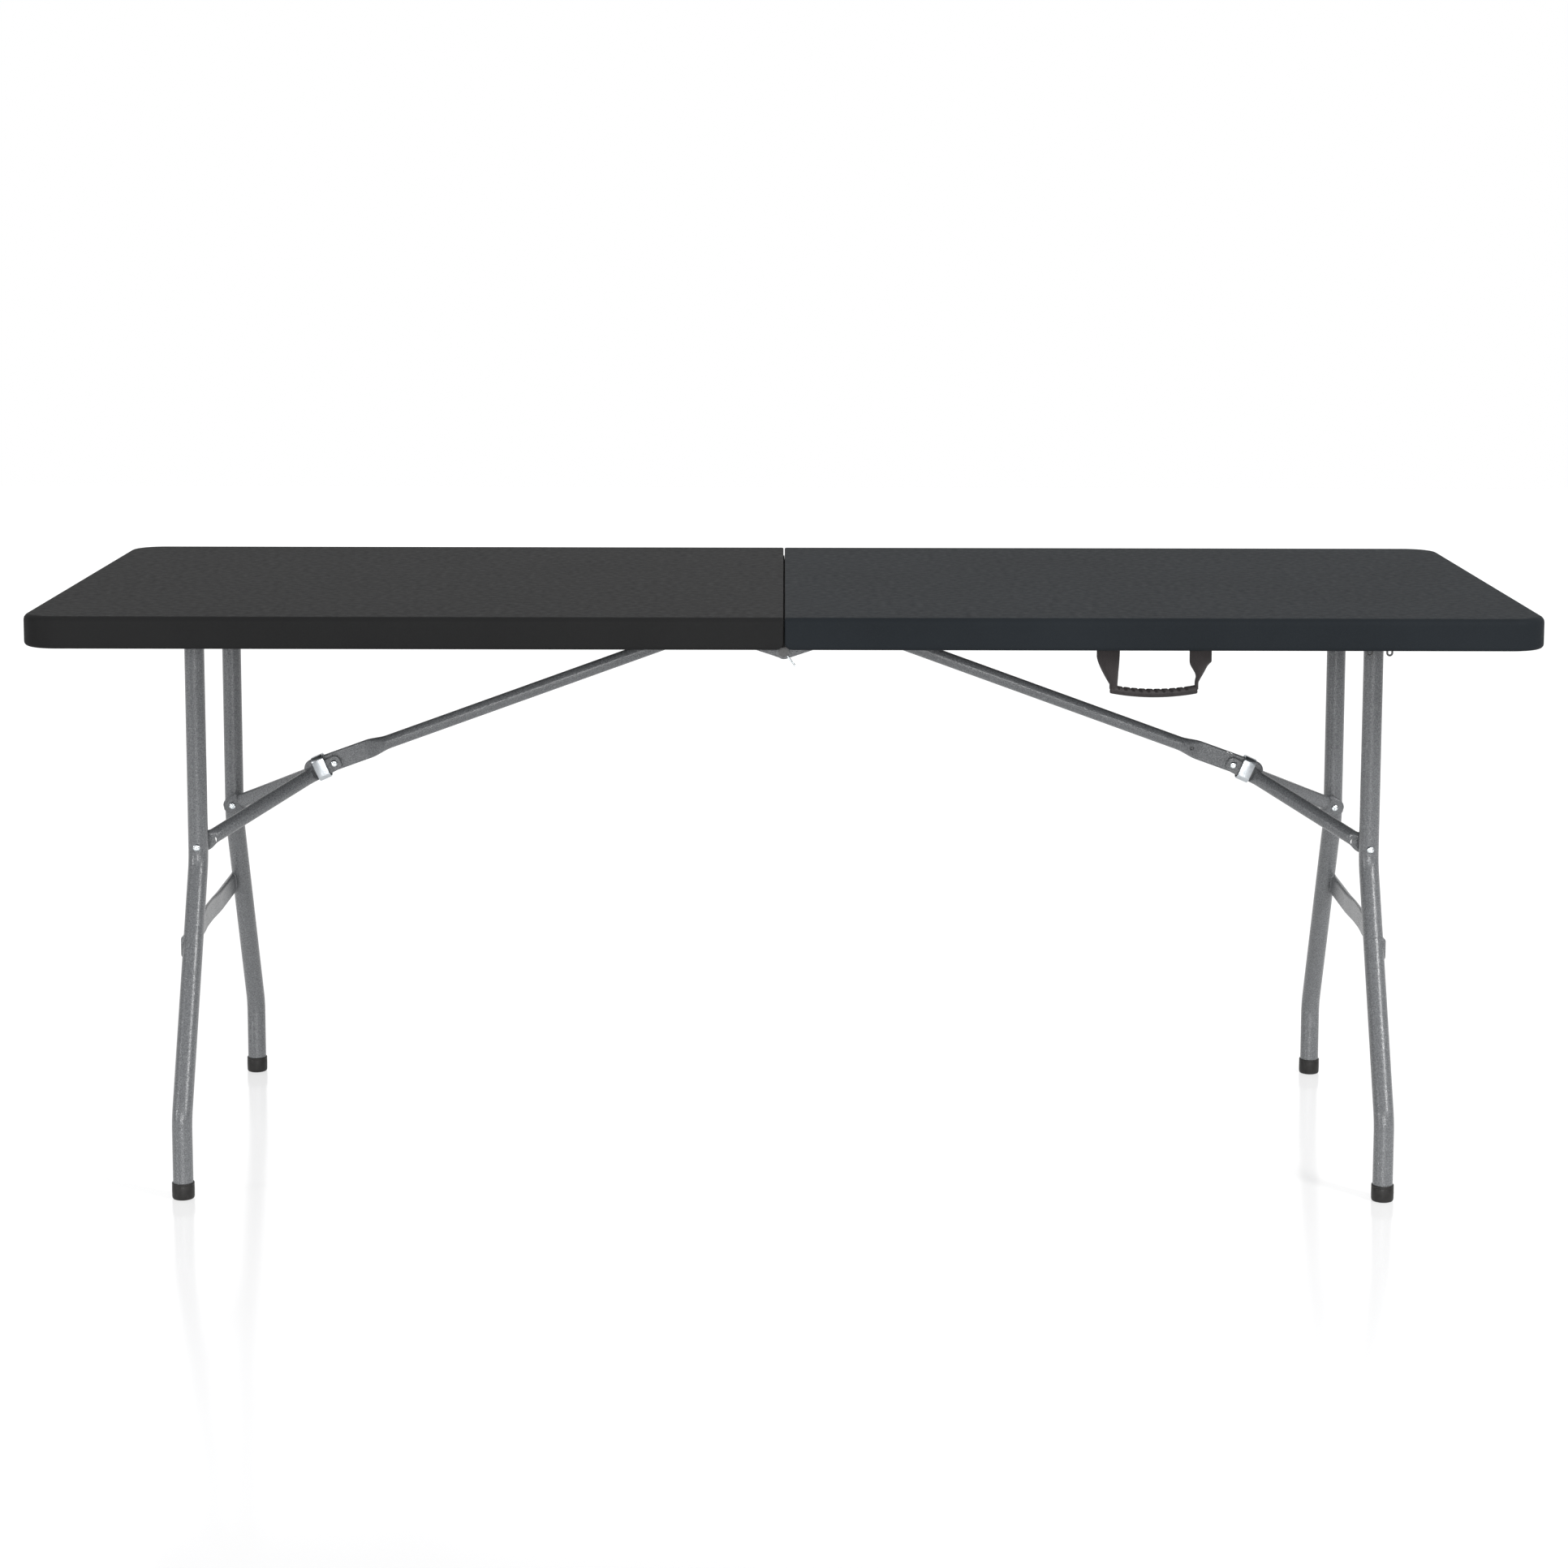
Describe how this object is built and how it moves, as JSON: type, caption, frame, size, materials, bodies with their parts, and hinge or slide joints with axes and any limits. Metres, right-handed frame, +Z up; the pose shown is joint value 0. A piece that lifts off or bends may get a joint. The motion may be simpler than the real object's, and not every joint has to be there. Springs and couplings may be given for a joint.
{
  "type": "folding table",
  "caption": "Rectangular bi-fold table: two moulded top halves hinged at the middle, folding wishbone steel legs with braced forks and lock rings, webbing carry handle.",
  "frame": {"origin": "on the floor, at the middle of the open table", "axes": "+X along the table to the half with the handle, +Y to the rear, away from the side with the handle, +Z up"},
  "size_m": [1.83, 0.76, 0.738],
  "materials": {
    "top_plastic": "pebble-grained moulded polyethylene",
    "steel_paint": "grey hammered powder coat",
    "cap_plastic": "black moulded polyethylene",
    "webbing": "woven polypropylene webbing",
    "grip_plastic": "moulded ribbed plastic",
    "zinc": "bright zinc plate",
    "wire": "dark oxidised steel"
  },
  "bodies": {
    "left_half": {"left_top_panel": "top_plastic", "left_front_rail": "steel_paint", "left_rear_rail": "steel_paint", "left_rail_screws": "zinc", "left_cross_rod": "steel_paint", "left_front_hinge_plate": "steel_paint", "left_rear_hinge_plate": "steel_paint", "front_hinge_pin": "wire", "rear_hinge_pin": "wire", "hinge_split_pins": "zinc", "closure_keepers": "zinc"},
    "right_half": {"right_top_panel": "top_plastic", "right_front_rail": "steel_paint", "right_rear_rail": "steel_paint", "right_rail_screws": "zinc", "right_cross_rod": "steel_paint", "right_front_hinge_plate": "steel_paint", "right_rear_hinge_plate": "steel_paint", "handle_left_root": "webbing", "handle_right_root": "webbing", "handle_anchors": "zinc", "closure_bracket": "zinc"},
    "left_leg_frame": {"left_front_leg": "steel_paint", "left_rear_leg": "steel_paint", "left_pivot_bar": "steel_paint", "left_crossbar": "steel_paint", "left_foot_caps": "cap_plastic", "left_leg_rivets": "zinc"},
    "left_brace_tube": {"left_brace": "steel_paint", "left_knee_rivet": "zinc"},
    "left_fork": {"left_front_arm": "steel_paint", "left_rear_arm": "steel_paint", "left_fork_rivets": "zinc"},
    "left_ring": {"left_lock_ring": "zinc"},
    "right_leg_frame": {"right_front_leg": "steel_paint", "right_rear_leg": "steel_paint", "right_pivot_bar": "steel_paint", "right_crossbar": "steel_paint", "right_foot_caps": "cap_plastic", "right_leg_rivets": "zinc"},
    "right_brace_tube": {"right_brace": "steel_paint", "right_knee_rivet": "zinc"},
    "right_fork": {"right_front_arm": "steel_paint", "right_rear_arm": "steel_paint", "right_fork_rivets": "zinc"},
    "right_ring": {"right_lock_ring": "zinc"},
    "handle": {"handle_left_strap": "webbing", "handle_right_strap": "webbing", "handle_grip": "grip_plastic"},
    "hooks": {"closure_hooks": "wire"}
  },
  "joints": [
    {"name": "centre_fold", "type": "hinge", "parent": "left_half", "child": "right_half", "pos_m": [0, 0, 0.6935], "axis": [0, 1, 0], "range_deg": [0, 90]},
    {"name": "left_leg_fold", "type": "hinge", "parent": "left_half", "child": "left_leg_frame", "pos_m": [-0.744, 0, 0.7085], "axis": [0, -1, 0], "range_deg": [0, 90]},
    {"name": "left_brace_swing", "type": "hinge", "parent": "left_half", "child": "left_brace_tube", "pos_m": [-0.02, 0, 0.704], "axis": [0, 1, 0], "range_deg": [0, 21.3]},
    {"name": "left_knee_bend", "type": "hinge", "parent": "left_brace_tube", "child": "left_fork", "pos_m": [-0.58812, 0, 0.49552], "axis": [0, -1, 0], "range_deg": [0, 172.9]},
    {"name": "left_lock_slide", "type": "slide", "parent": "left_brace_tube", "child": "left_ring", "axis": [0.9374, 0, 0.3483], "range_m": [0, 0.4505]},
    {"name": "right_leg_fold", "type": "hinge", "parent": "right_half", "child": "right_leg_frame", "pos_m": [0.744, 0, 0.7085], "axis": [0, 1, 0], "range_deg": [0, 90]},
    {"name": "right_brace_swing", "type": "hinge", "parent": "right_half", "child": "right_brace_tube", "pos_m": [0.02, 0, 0.704], "axis": [0, -1, 0], "range_deg": [0, 21.3]},
    {"name": "right_knee_bend", "type": "hinge", "parent": "right_brace_tube", "child": "right_fork", "pos_m": [0.58812, 0, 0.49552], "axis": [0, 1, 0], "range_deg": [0, 172.9]},
    {"name": "right_lock_slide", "type": "slide", "parent": "right_brace_tube", "child": "right_ring", "axis": [-0.9374, 0, 0.3483], "range_m": [0, 0.4505]},
    {"name": "handle_swing", "type": "hinge", "parent": "right_half", "child": "handle", "pos_m": [0.444, -0.358, 0.697], "axis": [-1, 0, 0], "range_deg": [0, 90]},
    {"name": "hook_swing", "type": "hinge", "parent": "right_half", "child": "hooks", "pos_m": [0.718, -0.355, 0.705], "axis": [1, 0, 0], "range_deg": [0, 75]}
  ],
  "couplings": [
    {"joint": "left_brace_swing", "follows": "left_leg_fold", "ratio": 0.23058},
    {"joint": "left_knee_bend", "follows": "left_leg_fold", "ratio": 1.9155},
    {"joint": "left_lock_slide", "follows": "left_leg_fold", "m_per_rad": 0.28648},
    {"joint": "right_brace_swing", "follows": "right_leg_fold", "ratio": 0.23058},
    {"joint": "right_knee_bend", "follows": "right_leg_fold", "ratio": 1.9155},
    {"joint": "right_lock_slide", "follows": "right_leg_fold", "m_per_rad": 0.28648}
  ]
}
